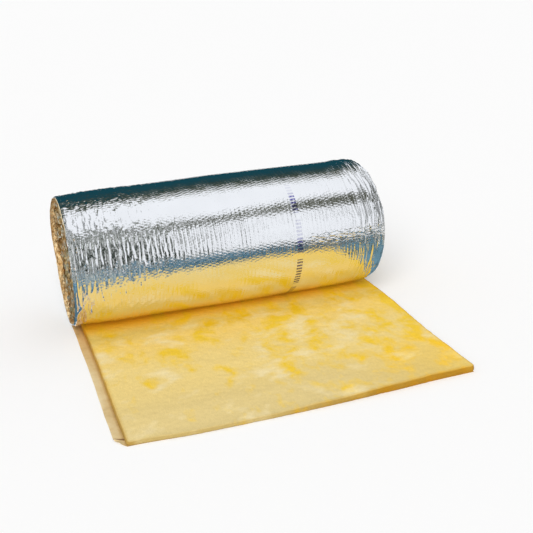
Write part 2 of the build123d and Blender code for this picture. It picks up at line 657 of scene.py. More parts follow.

# %% [markdown]
# The flange is the facing's edge without wool, paper side up. Its colour carries painted shade: a
# dark stripe of painted shadow beside the wool's wall, darker paper towards the roll, and a dark line
# in the crease of a fold near the free end.

# %% Flange material
flange_paper, wires, surface = new_material("flange_paper")
sheet_map = wires.sheet_map()
net = wires.grouped(scrim, Vector=sheet_map)
crumpled = wires.grouped(crumple, Vector=sheet_map, Facets=60.0)
over_flange, down_flange, _ = wires.parts(sheet_map)
FLANGE_TONES = [(0.30, (0.58, 0.42, 0.20)), (0.5, (0.76, 0.58, 0.30)), (0.7, (0.84, 0.69, 0.41))]
WALL_SHADOW_TONES = [
    (0.0, (1.0, 1.0, 1.0)), (0.25, (0.95, 0.94, 0.90)),
    (0.62, (0.92, 0.89, 0.82)), (0.90, (0.66, 0.52, 0.28)),
]
FOLD_AT = 0.039
paper = wires.graded(wires.noise(sheet_map, 14.0, 4.0, 0.6), FLANGE_TONES)
# Painted shade: the paper darkens and warms towards the roll.
paper = wires.tinted(paper, (0.96, 0.82, 0.66), wires.rise(down_flange, 0.48, 0.76))
# Painted shade: a dark line along the fold's crease.
off_fold = wires.maths("ABSOLUTE", wires.maths("SUBTRACT", down_flange, FOLD_AT))
paper = wires.mixed(wires.graded(off_fold, [(0.0030, 0.92), (0.0075, 0.0)]), paper, (0.24, 0.10, 0.03))
# Painted shadow: the paper darkens beside the wool's wall.
to_wool = wires.rise(over_flange, FLANGE_X, LEFT_X + 0.004, kind="LINEAR")
wires.give(
    surface,
    Base_Color=wires.tinted(paper, wires.graded(to_wool, WALL_SHADOW_TONES)),
    Roughness=0.6,
    Normal=wires.bumped((net["Diamonds"], 0.0003, 0.5), (crumpled["Height"], 0.0006, 0.3)),
)
print("flange paper nodes", len(flange_paper.node_tree.nodes))

# %% [markdown]
# ## Glass wool
# Glass wool is fine fibre laid in flat drifts. Its yellow comes from the binder, which settles
# unevenly: saturated patches, cream patches where loose fibre lies on top, and streaks along
# the way the fibre was laid. It is quite matt. In the nip between roll and floor a painted glow
# stands in for the warm light that bounces from wool to foil and back: the wool glows there a very little.
# On the loose end its colour also carries painted light and shade: paler and darker towards the
# free end, then darker and deep amber towards the nip.

# %% Wool mottling group
mottle, wires, given, result = new_group("wool_mottle", {}, ("Binder", "Drift", "Fibre"))
long_fibre = wires.streaks(given["Vector"], (0.12, 1), 0.15, 520.0, 2.0, 0.6, 0.4)
cross_fibre = wires.streaks(given["Vector"], (1, 0.14), -0.5, 430.0, 2.0, 0.6, 0.4)
wires.give(
    result,
    Binder=wires.streaks(given["Vector"], (1, 0.70), 0, 14.0, 3.0, 0.52, 0.2),
    Drift=wires.streaks(given["Vector"], (0.7, 0.9), 0.15, 11.0, 3.0, 0.5, 0.2),
    Fibre=wires.maths("MAXIMUM", long_fibre, cross_fibre),
)
print("mottling nodes", len(mottle.nodes))


# %% Wound wool's finish
def wool_finish(name):
    """The matt, fibrous finish that the loose and the wound wool share."""
    material, wires, surface = new_material(name)
    on_object = wires.add("ShaderNodeTexCoord").outputs["Object"]
    mottled = wires.grouped(mottle, Vector=on_object)
    relief = wires.bumped((mottled["Fibre"], 0.0010, 0.5))
    wires.give(surface, Roughness=0.95, Specular_IOR_Level=0.15, Normal=relief)
    return material, wires, surface, on_object, mottled


wound_finish, wires, surface, _, mottled = wool_finish("wound_glass_wool")
WOUND_TONES = [(0.36, (0.84, 0.62, 0.25)), (0.52, (0.83, 0.58, 0.16)), (0.72, (0.83, 0.50, 0.05))]
fine = wires.graded(mottled["Fibre"], [(0.40, 0.80), (0.68, 1.05)])
wires.give(surface, Base_Color=wires.tinted(wires.graded(mottled["Binder"], WOUND_TONES), fine))
print("wound wool nodes", len(wound_finish.node_tree.nodes))

# %% Loose wool's colours
loose_finish, wires, surface, on_object, mottled = wool_finish("loose_glass_wool")
wool_x, wool_y, _ = wires.parts(on_object)


def along_y(low, high, before, after):
    """A colour that changes with the distance from the free end."""
    return wires.mixed(wires.rise(wool_y, low, high), before, after)


# Painted light and shade along the wool: paler and darker towards the free end, where less light falls,
# then darker again and deep amber towards the nip, in the roll's shade.
wool_with_painted_shade = (0.74, 0.58, 0.25)
for low, high, colour in (
    (-0.56, -0.25, (0.87, 0.66, 0.24)),
    (-0.20, 0.02, (0.92, 0.65, 0.18)),
    (0.02, 0.12, (0.75, 0.53, 0.13)),
    (0.12, 0.22, (0.88, 0.46, 0.02)),
):
    wool_with_painted_shade = along_y(low, high, wool_with_painted_shade, colour)
drifting = wires.maths("MULTIPLY_ADD", wool_x, 0.11, mottled["Binder"])
drifting = wires.maths("MULTIPLY_ADD", wool_y, 0.12, drifting)
binder_share = wires.graded(drifting, [(0.45, 0.0), (0.54, 0.42), (0.64, 1.0)])
# The binder's patches darken towards the nip: painted shade.
binder_with_nip_shade = along_y(0.0, 0.09, (0.90, 0.60, 0.045), (0.80, 0.49, 0.012))
coloured = wires.mixed(binder_share, wool_with_painted_shade, binder_with_nip_shade)
cream_share = wires.graded(mottled["Drift"], [(0.54, 0.0), (0.70, 0.70)])
cream_share = wires.times(cream_share, wires.rise(wool_y, 0.05, 0.15, 1.0, 0.0, kind="LINEAR"))
coloured = wires.mixed(cream_share, coloured, (0.90, 0.77, 0.46))
coloured = wires.tinted(coloured, wires.graded(mottled["Fibre"], [(0.40, 0.90), (0.68, 1.04)]))
print("loose wool nodes for its patches", len(loose_finish.node_tree.nodes))

# %% Loose wool's corner, painted shade on its cut edges, and painted glow in the nip
from_left = wires.rise(wool_x, LEFT_X - 0.01, RIGHT_X, kind="LINEAR")
to_corner = wires.graded(from_left, [(0.62, 0.0), (0.95, 1.0)])
to_corner = wires.times(to_corner, wires.rise(wool_y, -0.48, -0.20, 1.0, 0.0))
coloured = wires.tinted(coloured, (1.10, 1.0, 0.60), to_corner)
# Painted shade: the wool's colour is darkened on its cut walls and along its rounded rim.
for painted_shade_band, side, left, right in (
    ("cut", (0.68, 0.58, 0.38), (0.74, 0.70, 0.62), (0.62, 0.49, 0.20)),
    ("rim", (0.84, 0.77, 0.62), (0.90, 0.87, 0.78), (0.82, 0.71, 0.44)),
):
    tint = wires.graded(from_left, [(0.02, side), (0.035, left), (0.35, left), (0.70, right)])
    depth = wires.add("ShaderNodeAttribute", {"attribute_name": painted_shade_band}).outputs["Fac"]
    coloured = wires.tinted(coloured, tint, depth)
# Painted glow: a faint amber emission in the nip stands in for warm light bounced between wool and foil.
painted_nip_glow = along_y(0.11, 0.20, (0, 0, 0), (1.0, 0.52, 0.03))
wires.give(surface, Base_Color=coloured, Emission_Color=painted_nip_glow, Emission_Strength=0.05)
print("loose wool nodes", len(loose_finish.node_tree.nodes))

# %% [markdown]
# ## Loose end of the wool
# Out of the roll the blanket springs back to its full loft. Its top is nearly flat, with lumps
# of fibre; its cut edges are soft and show the layers. A dense grid makes the top, extruded
# edges make the walls, and the points are then lofted by rule.

# %% Loose wool's grid and walls
LOOSE_COLUMNS, LOOSE_ROWS, WALL_STEPS = 300, 190, 6
loose_wool = new_grid("loose_wool", LOOSE_COLUMNS, LOOSE_ROWS)
only(loose_wool)
bpy.ops.object.mode_set(mode="EDIT")
bpy.ops.mesh.select_all(action="DESELECT")
bpy.ops.mesh.select_mode(type="EDGE")
bpy.ops.mesh.select_non_manifold()
for step in range(WALL_STEPS):
    bpy.ops.mesh.extrude_edges_move(TRANSFORM_OT_translate={"value": (0, 0, -1)})
bpy.ops.mesh.edge_face_add()
bpy.ops.mesh.select_mode(type="VERT")
bpy.ops.object.mode_set(mode="OBJECT")
EDGE_SPOTS = np.array([0, 0.0012, 0.003, 0.0055, 0.009, 0.0135, 0.019])


def spaced(share, faces, length, both_ends):
    """Places the grid's lines along a side, closer together at its start, or at both its ends."""
    end_spots = length - EDGE_SPOTS[::-1] if both_ends else np.array([length])
    inner_lines = faces + 3 - len(EDGE_SPOTS) - len(end_spots)
    middle = np.linspace(EDGE_SPOTS[-1], end_spots[0], inner_lines)
    spots = np.concatenate([EDGE_SPOTS[:-1], middle, end_spots[1:]])
    return np.interp(share * faces, np.arange(faces + 1), spots)


across, along = grid_shares(loose_wool)
wall = -points_of(loose_wool)[:, 2] / WALL_STEPS
sheet_x = spaced(across, LOOSE_COLUMNS, WOOL_WIDTH, True)
sheet_y = spaced(along, LOOSE_ROWS, LOOSE_LENGTH, False)
print("loose wool is", round(WOOL_WIDTH, 3), "by", round(LOOSE_LENGTH, 3), "m, flat")

# %% Loose wool's thickness
NIP_RADIUS = ROLL_RADIUS - TURN_PITCH / 2
NIP_CENTRE_Z = ROLL_RADIUS + TURN_PITCH / 2
LUMPS = [(0.0016, 0.21, 0.16, 3), (0.0010, 0.07, 0.05, 4)]
TUFTS = [(0.0007, 0.024, 0.016, 5), (0.00035, 0.010, 0.007, 6)]


def pressed_height(y):
    """Underside of the roll above the floor, from below its axis out to where the wool is loose."""
    reach = np.clip(ROLL_Y - y, 0, NIP_RADIUS * 0.95)
    return NIP_CENTRE_Z - np.sqrt(NIP_RADIUS**2 - reach**2)


def loose_thickness(x, y):
    """The wool's thickness. The hand-cut free end thins towards its left corner."""
    thinned = (1 - ramp(y, FREE_END_Y, FREE_END_Y + 0.13)) * (1 - ramp(x, -0.30, 0.42))
    near_cut = 1 - ramp(y, FREE_END_Y + 0.02, FREE_END_Y + 0.12)
    full = LOFT + 0.001 - 0.0135 * thinned + 0.0020 * near_cut * waves(x / 0.11, 0.4, 2)
    full = full + uneven(x, y, *LUMPS, *TUFTS)
    return np.minimum(full, pressed_height(y) + pressed_in(x, 0) + 0.0006)


print("loft in the open", round(1000 * float(loose_thickness(0.2, -0.2)), 1), "mm")


# %% Loose wool's outline
def askew(from_left, from_front):
    """The hand-cut end lies askew: how far each place moves to the right, and back."""
    right = 0.007 * (1 - ramp(from_left, 0, 0.4)) * ramp(from_front, 0.10, 0.60)
    back = 0.013 * (1 - ramp(from_left, 0, 0.22)) * (1 - ramp(from_front, 0, 0.25))
    return right, back


def rounded_corner(from_side, from_front, size):
    """How far each place moves in from the side and the front, to round off a square corner."""
    cut_x, cut_y = size - np.minimum(from_side, size), size - np.minimum(from_front, size)
    pull = np.hypot(cut_x, cut_y)
    squareness = np.where(pull > 0, np.maximum(cut_x, cut_y) / np.maximum(pull, 1e-9), 1)
    return cut_x * (1 - squareness), cut_y * (1 - squareness)


WOOL_CORNER = 0.014
side = np.minimum(sheet_x, WOOL_WIDTH - sheet_x)
inwards = np.where(sheet_x < WOOL_WIDTH / 2, 1, -1)
edge = np.minimum(side, sheet_y)
right, back = askew(sheet_x, sheet_y)
corner_x, corner_y = rounded_corner(side, sheet_y, WOOL_CORNER)
flared = ramp(sheet_x, 0.55, WOOL_WIDTH)
flared = flared * (0.014 * ramp(sheet_y, 0.30, 0.60) + 0.004 * (1 - ramp(sheet_y, 0.0, 0.12)))
bulged = (1 - ramp(sheet_y, 0.0, 0.25)) * 0.012 * np.sin(np.clip((sheet_x - 0.1) / 1.0, 0, 1) * math.pi)
x = LEFT_X + sheet_x + flared + right + inwards * corner_x
y = FREE_END_Y + sheet_y - bulged + back + corner_y
print("front edge bulges by up to", round(1000 * float(bulged.max()), 1), "mm")

# %% Loose wool, lofted
EDGE_RADIUS = 0.007
top = loose_thickness(x, y)
drop = EDGE_RADIUS - np.minimum(edge, EDGE_RADIUS)
drop = EDGE_RADIUS - np.sqrt(np.maximum(EDGE_RADIUS**2 - drop**2, 0))
crown = top - 0.55 * np.minimum(drop, top * 0.4)
height = crown * (1 - wall)
layered_front = uneven(sheet_x, height, (0.0011, 0.05, 0.004, 7), (0.0009, 0.012, 0.003, 8))
layered_side = uneven(sheet_y, height, (0.0010, 0.05, 0.004, 9), (0.0008, 0.012, 0.003, 10))
tucked = 0.0022 * np.sin(np.clip(height / np.maximum(crown, 1e-6), 0, 1) * math.pi)
front_in = 0.0016 - tucked + layered_front + 0.0012 * waves(sheet_x / 0.08, 0.3, 12)
side_in = 0.0014 - tucked + layered_side + 0.0012 * waves(sheet_y / 0.08, 0.7, 13)
x = x + inwards * (1 - ramp(side, 0, 0.010)) * side_in
y = y + (1 - ramp(sheet_y, 0, 0.010)) * front_in
place(loose_wool, x, y, np.maximum(height, FACING))
# The cut and rim bands below are masks for painted shade on the wool's cut walls and rounded rim.
below_top = 1 - np.clip(height / np.maximum(top, 1e-6), 0, 1)
cut_wall_shade = ramp(below_top, 0.0, 0.16) * (edge < 0.004)
rim_edge_shade = 0.9 * (1 - ramp(edge, 0.002, 0.013))
for painted_shade_band, values in (("cut", cut_wall_shade), ("rim", rim_edge_shade)):
    attribute = loose_wool.data.attributes.new(painted_shade_band, "FLOAT", "POINT")
    attribute.data.foreach_set("value", values.astype(np.float32))
face_outwards(loose_wool)
finished(loose_wool, "glass_wool", loose_finish)
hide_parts("glass_wool_blanket")

# %% [markdown]
# ## Wound wool
# The rest of the blanket is wound up. Only its two edges show, so the strip has dense rounded
# edges and a plain middle: a closed tube of sections is drawn flat, rolled up by the rule, and
# its loose fibre ends are roughened.

# %% Wound wool's section
HIDDEN_STATIONS = [-0.52, -0.45, -0.37, -0.28, -0.16, -0.05, 0.10, 0.40, 0.57, 0.585]
EDGE_PROFILE = [(0.010, 0.00), (0.0045, 0.05), (0.0015, 0.17), (0.0002, 0.34), (0.0, 0.5)]
EDGE_PROFILE += [(0.0002, 0.66), (0.0015, 0.83), (0.0045, 0.95), (0.010, 1.0)]
ring = [(RIGHT_X - back, depth) for back, depth in EDGE_PROFILE]
ring += [(LEFT_X + back, depth) for back, depth in reversed(EDGE_PROFILE)]
ring += [(station, 0.0) for station in [*HIDDEN_STATIONS, 0.597]]
ring_x, ring_depth = np.array([*ring, ring[0]]).T
print("places round the strip", len(ring))

# %% Wound wool
STEPS_PER_TURN = 96
wound_rows = int(WOUND_TURNS * STEPS_PER_TURN * 0.78)
wound_wool = new_grid("wound_wool", len(ring_x) - 1, wound_rows)
across, along = grid_shares(wound_wool)
even_steps = np.linspace(0, 1, 200)
turns_at = np.interp(along, even_steps, WOUND_TURNS * even_steps**0.86)
turn_angle = turns_at * FULL_TURN
blanket_at = turn_length(turns_at)
station = line_of(across, ring_x)
x, depth = ring_x[station], ring_depth[station]
inset = 2 * FACING + depth * (TURN_PITCH - 2 * FACING)
under_foil = (x > LEFT_X + 0.008) & (x < RIGHT_X - 0.006) & (depth == 0)
inset = inset + 0.0045 * under_foil * (turns_at < 1.02)
rim = (np.abs(x - RIGHT_X) < 0.011) | (np.abs(x - LEFT_X) < 0.011)
rough = 0.0024 * waves(blanket_at / 0.035, depth * 1.5, 21)
rough = rough + 0.0014 * waves(blanket_at / 0.009, depth * 2.2, 22) - 0.0022
x = x + np.where(x > 0, 1, -1) * rough * rim - dome(turns_at) * (x < 0)
y, z = wound(turn_angle, inset + pressed_in(x, turns_at * TURN_PITCH, turn_angle))
place(wound_wool, x, y, np.maximum(z, FACING))
close_up(wound_wool, gap=0.00002)
finished(wound_wool, "glass_wool", wound_finish)

# %% [markdown]
# ## Foil round the roll
# The outermost turn of facing is what the photograph mostly shows. It is one sheet: dense on
# its bright side, folded over the flange's edge, and plain behind, where the wool hides it.
# Winding puckers foil into ribs round the roll. They are strong near the flange, fine in the
# middle, and bunched into curved wrinkles where the right end's shoulder is pressed in.


# %% Foil relief
def foil_relief(x, s):
    """How far the foil stands out, x along the roll and s round it."""
    left_creased = 1 - ramp(x, FLANGE_X + 0.16, -0.10)
    right_bunched = ramp(x, 0.44, RIGHT_X - 0.03)
    front, lower = ramp(s, 1.02, 1.10), ramp(s, 1.16, 1.34)
    swell = uneven(x, s, (0.0011, 0.33, 0.40, 31), (0.0005, 0.12, 0.20, 32))

    wander = x + 0.0035 * waves(x / 0.10, s / 0.22, 33)
    rib_height = 0.00048 * (1 - ramp(x, 0.0, 0.42)) + 0.00010 + 0.00036 * left_creased
    rib_height = rib_height * (0.8 + 0.5 * waves(x / 0.05, s / 0.20, 30)) * (0.45 + 0.55 * front)
    ribs = (0.5 + 0.5 * np.cos(FULL_TURN * wander / RIB_SPACING)) ** 1.6 * rib_height

    long_creases = creases(wander / 0.028, s / 0.17, 35, 6.0) * (0.6 + 0.4 * front) * 0.0024
    side_creases = creases((x + 0.25 * s) / 0.040, s / 0.09, 36, 5.0) * 0.0016

    rim_line = x + 0.010 * waves(0.3, s / 0.12, 37)
    leaning_line = (rim_line - 0.10 * s) / 0.030
    bunched = (creases(rim_line / 0.019, s / 0.24, 38, 1.6) - 0.4) * 0.0036 * (1 - 0.78 * lower)
    bunched = bunched + creases(rim_line / 0.012, s / 0.10, 40, 1.8) * 0.0009 * (1 - 0.6 * lower)
    bunched = bunched + creases(leaning_line, s / 0.26, 45, 2.2) * 0.0034 * (1 - 0.35 * lower)

    dented = 0.00115 * left_creased * (1 - 0.35 * ramp(s, 1.13, 1.20)) + 0.0006 * right_bunched + 0.00022
    dents = creases(x / 0.020, s / 0.024, 39, 2.0) + 0.4 * creases(x / 0.011, s / 0.018, 44, 2.0)
    return (
        swell + ribs + (long_creases + side_creases) * left_creased
        + bunched * right_bunched + dents * dented
    )


front_middle = float(foil_relief(0.0, 1.2))
print("foil stands out", round(1000 * front_middle, 2), "mm in the middle of the front")

# %% Foil's section along the roll
OUTER_COLUMNS, TURN_ROWS = 470, 196
BEHIND_INSET, TUCK_INSET, FOLD_INSET = 0.0040, 0.0045, 0.0006
tucked_x = [RIGHT_X - 0.006, RIGHT_X - 0.0015]
outer_x = np.linspace(RIGHT_X, FLANGE_X, OUTER_COLUMNS + 1)
inner_x = np.linspace(FLANGE_X + 0.0002, LEFT_X + 0.006, 13)
hidden_x = [LEFT_X + 0.02, *HIDDEN_STATIONS, RIGHT_X - 0.02]
profile_x = np.concatenate([tucked_x, outer_x, inner_x, hidden_x, [RIGHT_X - 0.006]])
profile_inset = np.concatenate([
    [TUCK_INSET, 0.0018],
    np.zeros(len(outer_x)),
    np.full(len(inner_x), FOLD_INSET),
    np.full(len(hidden_x), BEHIND_INSET),
    [TUCK_INSET],
])
print("places along the foil", len(profile_x))

# %% Foil round the roll
foil_turn = new_grid("foil_turn", len(profile_x) - 1, TURN_ROWS)
across, along = grid_shares(foil_turn)
station = line_of(across, profile_x)
turn_angle = along * FULL_TURN
x, inset = profile_x[station], profile_inset[station]
s = turn_angle * ROLL_RADIUS
curl = np.clip((FLANGE_X + 0.009 - x) / 0.009, 0, 1)
stand = (foil_relief(x, s) - 0.0045 * curl**2) * (inset < 0.0011)
flange_wave = 1 - ramp(x, FLANGE_X, LEFT_X + 0.005)
stand = stand + flange_wave * (0.0022 * waves(s / 0.06, 0.5, 41) + 0.0012 * waves(s / 0.02, x / 0.02, 42))
pushed_in = 0.007 * ramp(turn_angle, 1.2, 1.8) * (1 - ramp(turn_angle, 2.0, 3.0))
x = x + (station >= len(tucked_x)) * flange_wave * (0.0010 * waves(s / 0.05, 0.2, 43) - pushed_in)
y, z = wound(turn_angle, inset + pressed_in(x, 0, turn_angle) - stand)
place(foil_turn, x, y, np.maximum(z, 0.0))
keep_flat_map(foil_turn, profile_x[station], s)
close_up(foil_turn, gap=0.000005)
finished(foil_turn, "foil", foil, kraft)
paper_inside(foil_turn)
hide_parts("foil_facing")

# %% [markdown]
# ## Crumpled flange on the wound end
# Inside the outermost turn the flange of every turn stands out of the left end. Rolling and
# standing the roll on end has crushed it: strips of paper and foil that lean, fold and touch.
# One long strip is wound with the others and crumpled by rule, more towards its free edge.

# %% Strip inside the outermost turn
RIBBON_TURNS = 12
ribbon_turns = 1 + RIBBON_TURNS * np.linspace(0, 1, 400)
ribbon_lengths = turn_length(ribbon_turns)


def along_ribbon(share):
    """The length of sheet, and the turns, from the floor line to each share of the strip."""
    s = ribbon_lengths[0] + share * (ribbon_lengths[-1] - ribbon_lengths[0])
    return s, np.interp(s, ribbon_lengths, ribbon_turns)


def crowded(turns, angle, full_at, none_at):
    """Near 1 round one bearing of the outer turns, falling to 0 beside it and further in."""
    off_bearing = (np.mod(turns, 1) * FULL_TURN - angle) / 0.60
    return np.exp(-(off_bearing**2)) * (1 - ramp(turns, full_at, none_at))


print("strip inside the outermost turn", round(ribbon_lengths[-1] - ribbon_lengths[0], 2), "m")

# %% Wound flange
RIBBON_COLUMNS, RIBBON_ROWS = 9, 2300
HIGH_BEARING, LOW_BEARING = 2.35, 0.95
wound_flange = new_grid("wound_flange", RIBBON_COLUMNS, RIBBON_ROWS)
free, along = grid_shares(wound_flange)
s, turns_at = along_ribbon(along)
shortened = 0.45 * crowded(turns_at, HIGH_BEARING, 1.6, 3.0)
reach = free * (LEFT_X - FLANGE_X) * (1 - shortened) + 0.006
lean = 0.95 * waves(s / 0.075, turns_at * 0.9, 51) + 0.55 * waves(s / 0.026, turns_at * 0.9, 52)
lean = lean - 0.30 + 1.1 * crowded(turns_at, LOW_BEARING, 1.5, 2.2)
radial = reach * np.sin(lean * (0.4 + 0.6 * free)) * free**0.5
ruffles = 0.0060 * waves(s / 0.014, free * 1.4, 53) + 0.0036 * waves(s / 0.0070, free * 2.3, 54)
radial = np.clip(radial + free * ruffles, -0.020, 0.014)
x = LEFT_X + 0.008 - dome(turns_at) - reach * np.cos(lean * free)
x = x + free * 0.0045 * np.clip(turns_at / 3, 0.3, 1) * waves(s / 0.020, free * 1.1, 56)
y, z = wound(turns_at * FULL_TURN, pressed_in(FLANGE_X, turns_at * TURN_PITCH) - radial)
place(wound_flange, x, y, np.maximum(z, 0.0))
keep_flat_map(wound_flange, x, s)
thicken(wound_flange, FOIL)
finished(wound_flange, "foil", warm_foil, kraft)
paper_inside(wound_flange)

# %% [markdown]
# ## Facing's edges on the other end
# On the right end the facing is cut flush with the wool, so a thin bright line of foil winds
# between the turns of wool.

# %% Wound edge
EDGE_ROWS = 1100
wound_edge = new_grid("wound_edge", 2, EDGE_ROWS)
across, along = grid_shares(wound_edge)
s, turns_at = along_ribbon(along)
turn_angle = turns_at * FULL_TURN
x = RIGHT_X - 0.012 + across * (0.0115 + 0.0012 * waves(s / 0.03, 0.4, 61))
inset = 0.0009 * waves(s / 0.04, across, 62) * across
y, z = wound(turn_angle, inset + pressed_in(x, turns_at * TURN_PITCH, turn_angle))
place(wound_edge, x, y, z)
keep_flat_map(wound_edge, x, s)
thicken(wound_edge, FOIL)
finished(wound_edge, "foil", foil)

# %% [markdown]
# ## Facing under the loose end
# The same sheet lies foil side down under the flat stretch. It shows as the paper flange along
# the left side, with a corner that has been turned up and pressed back, and as a thin line
# under the wool's cut edges.

# %% Flat facing
FLANGE_CORNER, FOLD_START, FOLD_SLOPE = 0.040, 0.034, 0.15
flange_steps = np.linspace(FLANGE_X, LEFT_X + 0.004, 15)
under_steps = np.linspace(LEFT_X + 0.03, RIGHT_X - 0.01, 40)
flat_x = np.concatenate([flange_steps, under_steps, [RIGHT_X - 0.004, RIGHT_X]])
flat_y = np.concatenate([np.linspace(0, 0.06, 31), np.linspace(0.065, LOOSE_LENGTH + 0.004, 124)])
flat_facing = new_grid("flat_facing", len(flat_x) - 1, len(flat_y) - 1)
across, along = grid_shares(flat_facing)
x, sheet_y = flat_x[line_of(across, flat_x)], flat_y[line_of(along, flat_y)]
keep_flat_map(flat_facing, x, sheet_y)
corner_x, corner_y = rounded_corner(x - FLANGE_X, sheet_y, FLANGE_CORNER)
flange_share = 1 - ramp(x, FLANGE_X, LEFT_X)
fold = 1 - ramp(np.abs(sheet_y - FOLD_START - FOLD_SLOPE * (x - FLANGE_X)), 0, 0.005)
lift = 0.0014 + 0.0016 * waves(sheet_y / 0.09, 0.2, 71) + 0.0007 * waves(sheet_y / 0.03, x / 0.03, 72)
lift = flange_share * (lift + 0.0028 * fold + 0.0030 * (1 - ramp(sheet_y, 0, 0.022)))
x = x + corner_x + flange_share * 0.0012 * waves(sheet_y / 0.12, 0.6, 73)
right, back = askew(x - LEFT_X, sheet_y)
cut_back = 0.020 * np.clip((LEFT_X - x) / (LEFT_X - FLANGE_X), 0, 1) * (1 - ramp(sheet_y, 0, 0.09))
x = x + right
frayed = 0.0006 * waves(x / 0.05, 0.1, 74) * (1 - ramp(sheet_y, 0, 0.01))
y = FREE_END_Y + sheet_y + cut_back + back + corner_y + frayed
place(flat_facing, x, y, FACING + np.maximum(lift, 0))
thicken(flat_facing, FACING)
finished(flat_facing, "foil", flange_paper)

# %% [markdown]
# ## Studio
# The floor is plain and pale, the background white. A mirror-like foil has no brightness of its
# own: what shows on it is the studio. So, as round any bright metal in a photo studio, boards
# stand outside the picture: teal behind and above, with dark streaks and pale ones lower in
# front. They only show in reflections. They light nothing, and the white background stays in the
# rest. Some carry large dark and pale patches, as a room does: each rib of the foil then picks up
# a light or a dark one. On the floor lie blue boards and grey ones, and two small blue cards hang
# just over the wool's front edge.

# %% Floor
FLOOR_SIDE = 60
bpy.ops.object.select_all(action="DESELECT")
bpy.ops.mesh.primitive_plane_add(size=FLOOR_SIDE, location=(0, 0, 0))
floor = bpy.context.object
floor.name = "floor"
pale, wires, surface = new_material("pale_floor")
wires.give(surface, Base_Color=(0.97, 0.97, 0.97), Roughness=0.9, Specular_IOR_Level=0.0)
floor.data.materials.append(pale)
print("floor", FLOOR_SIDE, "m across")

# %% World
AMBIENT = 0.52
world = bpy.data.worlds.new("white_studio")
bpy.context.scene.world = world
world.use_nodes = True
world.node_tree.nodes.clear()
wires = Wiring(world.node_tree)
seen = wires.add("ShaderNodeLightPath").outputs
shown = wires.maths("MAXIMUM", seen["Is Camera Ray"], seen["Is Glossy Ray"])
shown = wires.maths("MAXIMUM", shown, seen["Is Transmission Ray"])
ambient = wires.add("ShaderNodeBackground", Color=(1, 1, 1), Strength=AMBIENT)
backdrop = wires.add("ShaderNodeBackground", Color=(1, 1, 1), Strength=1.0)
either = wires.add("ShaderNodeMixShader")
for socket, value in zip(either.inputs, (shown, ambient.outputs[0], backdrop.outputs[0])):
    wires.join(value, socket)
wires.add("ShaderNodeOutputWorld", Surface=either.outputs[0])
print("ambient light", AMBIENT)

# %% Broad soft light from the front left
LIGHT_HEIGHT, LIGHT_BEARING, LIGHT_SPREAD = math.radians(40), math.radians(-28), math.radians(45)
bpy.ops.object.light_add(type="SUN", location=(-2, -3, 3))
broad_light = bpy.context.object
broad_light.name = "broad_light"
broad_light.data.energy = math.pi * (1 - AMBIENT) / math.sin(LIGHT_HEIGHT)
broad_light.data.angle = LIGHT_SPREAD
level = math.cos(LIGHT_HEIGHT)
towards = Vector(
    (-math.sin(LIGHT_BEARING) * level, math.cos(LIGHT_BEARING) * level, -math.sin(LIGHT_HEIGHT))
)
broad_light.rotation_euler = towards.to_track_quat("-Z", "Y").to_euler()
broad_light.visible_glossy = False
print("broad light", round(broad_light.data.energy, 2))

# %% Colours and patterns of the boards
SKY, CLUTTER = (0.87, 0.90, 0.95), (0.10, 0.105, 0.09)
TEAL, DEEP_GREEN = (0.0075, 0.057, 0.080), (0.026, 0.045, 0.038)
OLIVE, DUSK = (0.11, 0.12, 0.10), (0.38, 0.40, 0.38)
STREAK, PALE_STREAK = (0.085, 0.09, 0.072), (0.13, 0.138, 0.115)
WHITISH, BLACKISH = (0.84, 0.88, 0.87), (0.022, 0.030, 0.024)
BLUE, DEEP_BLUE = (0.16, 0.31, 0.43), (0.045, 0.10, 0.13)


def fade(*stops):
    """A rule for a board whose colour changes along it."""
    return lambda wires: wires.graded(wires.parts(wires.sheet_map())[1], stops)


def patches(columns, share, light=SKY, dark=CLUTTER, rows=3.0, far_share=None, turn=(0.0, 1.0)):
    """A rule for upright shapes, as a room looks in a mirror. The shares set how dark each side is."""

    def shapes(wires):
        spread = wires.sheet_map()
        darkness = share
        if far_share is not None:
            darkness = wires.graded(wires.parts(spread)[0], [(turn[0], share), (turn[1], far_share)])
        level = wires.maths("ADD", wires.streaks(spread, (columns, rows), 0, 1.0, 2.0), darkness)
        return wires.mixed(wires.rise(level, 0.92, 1.08, kind="LINEAR"), light, dark)

    return shapes


def paint_board(piece, colour):
    """Makes a board glow in one colour, or by a rule. Only reflections see it."""
    material, wires, glow = new_material(piece.name + "_paint", "ShaderNodeEmission")
    wires.give(glow, Color=colour(wires) if callable(colour) else colour, Strength=1.0)
    piece.data.materials.append(material)
    piece.visible_camera = False
    piece.visible_diffuse = False
    piece.visible_shadow = False
    piece.visible_transmission = False


print("sky", SKY, "clutter", CLUTTER)

# %% Shapes of the boards
DRUM_RADIUS = 4.0


def drum_board(name, x_from, x_to, left_degrees, right_degrees, colour, radius=DRUM_RADIUS):
    """Part of a drum round the roll's axis. 0 degrees is level in front, 90 is overhead."""
    piece = new_grid(name, 8, 32)
    across, along = grid_shares(piece)
    keep_flat_map(piece, across, along)
    low, high = (left + across * (right - left) for left, right in zip(left_degrees, right_degrees))
    bearing = np.radians(low + along * (high - low))
    x = x_from + across * (x_to - x_from)
    place(piece, x, ROLL_Y - radius * np.cos(bearing), ROLL_RADIUS + radius * np.sin(bearing))
    paint_board(piece, colour)


def end_board(name, x, width, height, colour):
    """An upright board beyond one end of the roll."""
    piece = new_grid(name, 4, 4)
    across, along = grid_shares(piece)
    keep_flat_map(piece, across, along)
    place(piece, x, ROLL_Y + (across - 0.5) * width, along * height)
    paint_board(piece, colour)


